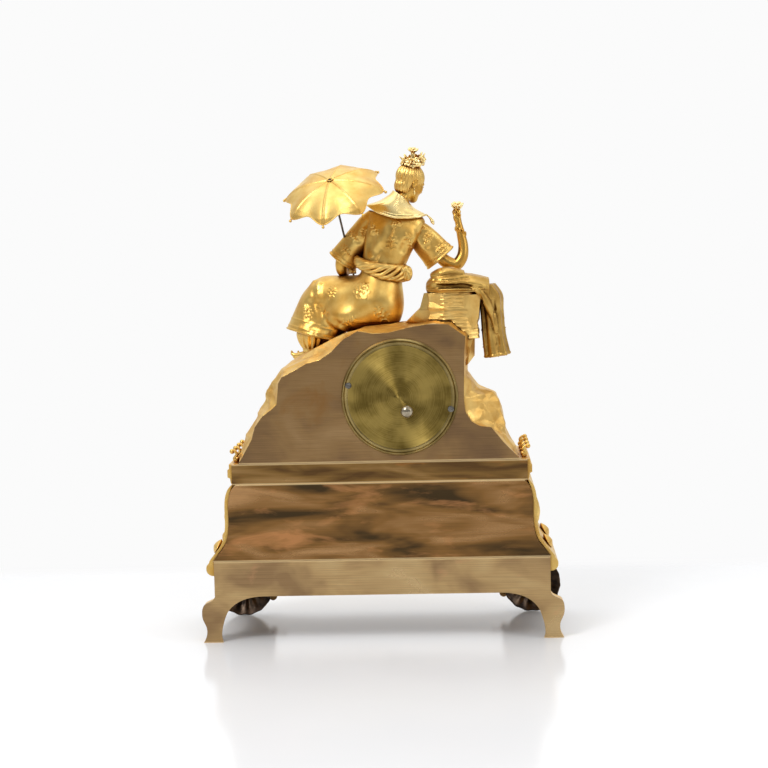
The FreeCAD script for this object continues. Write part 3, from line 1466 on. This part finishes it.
def make_parasol_canopy():
    gore_share = math.cos(math.pi / parasol_rib_count)
    hole = parasol_rod_radius + running_gap
    crease = parasol_crease_radius
    drop = parasol_crease_drop
    scallop = (parasol_tip_drop - drop) * 0.6
    top = [parasol_ring(hole, 0, 1), parasol_ring(crease * 0.35, drop * 0.12, gore_share),
           parasol_ring(crease * 0.7, drop * 0.48, gore_share), parasol_ring(crease, drop, gore_share),
           parasol_ring(parasol_tip_radius, parasol_tip_drop, gore_share * 0.94, scallop)]
    under = [parasol_ring(parasol_tip_radius - parasol_wall, parasol_tip_drop + parasol_wall / 2,
                          gore_share * 0.94, scallop),
             parasol_ring(crease - parasol_wall, drop + parasol_wall, gore_share),
             parasol_ring(crease * 0.7, drop * 0.48 + parasol_wall, gore_share),
             parasol_ring(crease * 0.35, drop * 0.12 + parasol_wall, gore_share),
             parasol_ring(hole, parasol_wall, 1)]
    shell = faceted(top + under, closed=True)
    tips = [ball(point, parasol_tip_ball_radius)
            for point in parasol_ring(parasol_tip_radius, parasol_tip_drop, 1)[::2]]
    return fuse_all([shell] + tips)


def make_parasol_rod(skirt):
    axis = V(parasol_axis).normalize()
    return rod(hub_centre - axis * parasol_rod_length, hub_centre, parasol_rod_radius).cut(skirt)


# Applied ornaments

def side_gallery(side):
    # A rail with small ball-tipped posts along one side edge of the deck.
    edge_x = plinth_neck_half_width + cornice_projection * 0.6
    outer_x = side * (edge_x - gallery_inset / 4)
    inner_x = outer_x - side * gallery_rail_width
    front_y = front_y_at(edge_x) + gallery_inset
    back_y = case_back_y - 2 * gallery_inset
    rail = box(min(outer_x, inner_x), max(outer_x, inner_x), front_y, back_y, deck_top_z,
               deck_top_z + gallery_rail_height)
    shapes = [rail]
    spacing = (back_y - front_y - 2 * gallery_rail_width) / (gallery_post_count - 1)
    for step in range(gallery_post_count):
        foot_y = front_y + gallery_rail_width + spacing * step
        foot = V((outer_x + inner_x) / 2, foot_y, deck_top_z + gallery_rail_height / 2)
        top = foot + V(side * gallery_lean, 0, gallery_rail_height / 2 + gallery_post_height)
        shapes.append(taper(foot, top, gallery_post_radius, gallery_post_radius * 0.6))
        shapes.append(ball(top, gallery_ball_radius))
    return fuse_all(shapes)


def make_side_galleries():
    return Part.makeCompound([side_gallery(side) for side in (1, -1)])


def raised_leaf(centre, along, outward, length, width, relief):
    # A pointed leaf with a raised midrib, broad in its middle and drawn out at both ends.
    across = along.cross(outward).normalize()
    rib_shares = [(-1, 0), (-0.5, 0.6), (0, 1), (0.5, 0.6), (1, 0), (0, -1)]
    leaf_shares = [(-0.5, 0.15), (-0.3, 0.7), (-0.05, 1), (0.2, 0.75), (0.38, 0.35), (0.5, 0.08)]
    sections = []
    for where, size in leaf_shares:
        middle = centre + along * (length * where)
        sections.append([middle + across * (width / 2 * size * over) + outward * (relief * size * up)
                         for over, up in rib_shares])
    return faceted(sections)


def plinth_block():
    return mitred(plinth_profile(), 0, case_back_y, True)


def make_side_leaves():
    # Upright leaves on both side walls, each over a broad leaf on the moulding below.
    block = plinth_block()
    height = plinth_top_z - base_top_z
    leaves = []
    for side in (1, -1):
        for along_share in (0.24, 0.76):
            y = case_front_y + (case_back_y - case_front_y) * along_share
            wall = V(side * (plinth_neck_half_width + cornice_projection * 1.9), y,
                     base_top_z + height * 0.55)
            leaves.append(raised_leaf(wall, straight_up, V(side, 0, 0), leaf_length, leaf_width,
                                      leaf_relief))
            low = V(side * (plinth_foot_half_width - leaf_relief * 1.2), y, base_top_z + height * 0.14)
            leaves.append(raised_leaf(low, V(side * -0.5, 0, 1).normalize(), V(side, 0, 0.5).normalize(),
                                      leaf_length * 0.5, leaf_width * 1.2, leaf_relief))
    return Part.makeCompound([leaf.cut(block) for leaf in leaves])


def make_front_ornament():
    # A lobed plaque that follows the front of the plinth, with a rosette in its middle.
    lobe_shares = [(1, 0), (0.95, 0.22), (0.84, 0.3), (0.74, 0.42), (0.68, 0.75), (0.6, 0.85), (0.5, 0.72),
                   (0.42, 0.6), (0.3, 0.58), (0.2, 0.8), (0.1, 1)]
    upper = lobe_shares + [(-across, up) for across, up in reversed(lobe_shares)]
    lower = [(across, -up) for across, up in reversed(upper[1:-1])]
    middle_z = (base_top_z + plinth_top_z) / 2 + panel_half_height * 0.2
    outline = [V(panel_half_length * across, 0, middle_z + panel_half_height * up)
               for across, up in upper + lower]
    prism = outline_face(outline).extrude(V(0, 2 * case_front_y, 0))
    layer = mitred(plinth_profile(), -panel_relief, case_back_y, True).cut(plinth_block())
    waist_share = 0.32
    face_half_width = plinth_neck_half_width + (plinth_foot_half_width
                                                - plinth_neck_half_width) * waist_share
    centre = V(0, front_y_at(face_half_width), middle_z)
    outward = V(0, -1, 0)
    root = outward * (panel_relief * 0.4)
    peak = outward * (panel_relief * 2.2)
    shapes = [layer.common(prism), taper(centre + root, centre + peak, panel_relief * 1.5, panel_relief)]
    for step in range(panel_petal_count):
        turn = 2 * math.pi * step / panel_petal_count
        place = centre + V(math.cos(turn), 0, math.sin(turn)) * panel_boss_radius
        shapes.append(taper(place + root, place + peak, panel_relief, panel_relief * 0.5))
    return fuse_all(shapes)


def build():
    save("base_back_plate", make_base_back_plate())
    save("base_frame", make_base_frame())
    save("front_foot_left", make_shell_foot(1))
    save("front_foot_right", make_shell_foot(-1))
    save("plinth_shell", make_plinth_shell())
    save("plinth_back_plate", make_plinth_back_plate())
    save("cornice", make_cornice())
    save("cornice_back_plate", make_cornice_back_plate())
    save("side_galleries", make_side_galleries())
    save("side_leaves", make_side_leaves())
    save("front_ornament", make_front_ornament())
    save("case_screws", make_case_screws())

    pillar = make_rock_pillar()
    drapery = make_drapery(pillar)
    save("rock_mound", make_rock_mound())
    save("rock_back_plate", make_rock_back_plate())
    save("rock_pillar", pillar)
    save("pillar_drapery", drapery)

    skirt = make_robe_skirt()
    torso = make_robe_torso(skirt)
    sash = make_sash(torso, skirt)
    head = make_head().cut(torso)
    collar = make_cape_collar(torso, head)
    stem = make_parasol_rod(skirt)
    arm_left = make_arm(left_shoulder, left_elbow, left_elbow, left_hand,
                        [torso, skirt, sash, collar, stem])
    right_sleeve_end = (right_shoulder + right_elbow) * 0.5 + right_sleeve_fall
    arm_right = make_arm(right_shoulder, right_sleeve_end, right_elbow, right_hand,
                         [torso, skirt, sash, collar, drapery, pillar])
    save("robe_skirt", skirt)
    save("robe_torso", torso)
    save("robe_sash", sash)
    save("cape_collar", collar)
    save("head", head)
    save("hair_flowers", make_hair_flowers(head))
    save("arm_left", arm_left)
    save("arm_right", arm_right)
    save("legs", make_legs(skirt))
    save("hand_flower", make_hand_flower(arm_right))
    save("parasol_rod", stem)
    save("parasol_canopy", make_parasol_canopy())

    save("drum_case", make_drum_case())
    save("rear_ring", make_rear_ring())
    save("back_cover", make_back_cover())
    save("cover_knob", make_cover_knob())
    save("front_bezel", make_front_bezel())
    save("dial_glass", make_dial_glass())
    save("dial_plate", make_dial_plate())
    save("minute_hand", make_hand(minute_hand_length, 60, minute_hand_y(), arbor_radius))
    save("hour_hand", make_hand(hour_hand_length, -55, hour_hand_y(), hour_pipe_radius()))

    save("front_movement_plate", make_front_movement_plate())
    save("back_movement_plate", make_back_movement_plate())
    save("movement_pillars", make_movement_pillars())
    save("going_barrel", make_barrel(going_barrel_place, intermediate_place))
    save("going_winding_arbor", make_winding_arbor(going_barrel_place))
    save("intermediate_wheel", make_intermediate_wheel())
    save("centre_wheel", make_centre_wheel())
    save("third_wheel", make_third_wheel())
    save("escape_wheel", make_escape_wheel())
    save("anchor", make_anchor())
    save("pendulum_cock", make_pendulum_cock())
    save("pendulum_rod", make_pendulum_rod())
    save("pendulum_bob", make_pendulum_bob())
    save("minute_wheel", make_minute_wheel())
    save("hour_wheel", make_hour_wheel())
    save("strike_barrel", make_barrel(strike_barrel_place, strike_second_place))
    save("strike_winding_arbor", make_winding_arbor(strike_barrel_place))
    save("strike_wheel", make_strike_wheel())
    save("pin_wheel", make_pin_wheel())
    save("fly", make_fly())
    save("hammer", make_hammer())
    save("bell", make_bell())
    save("bell_stand", make_bell_stand())


build()
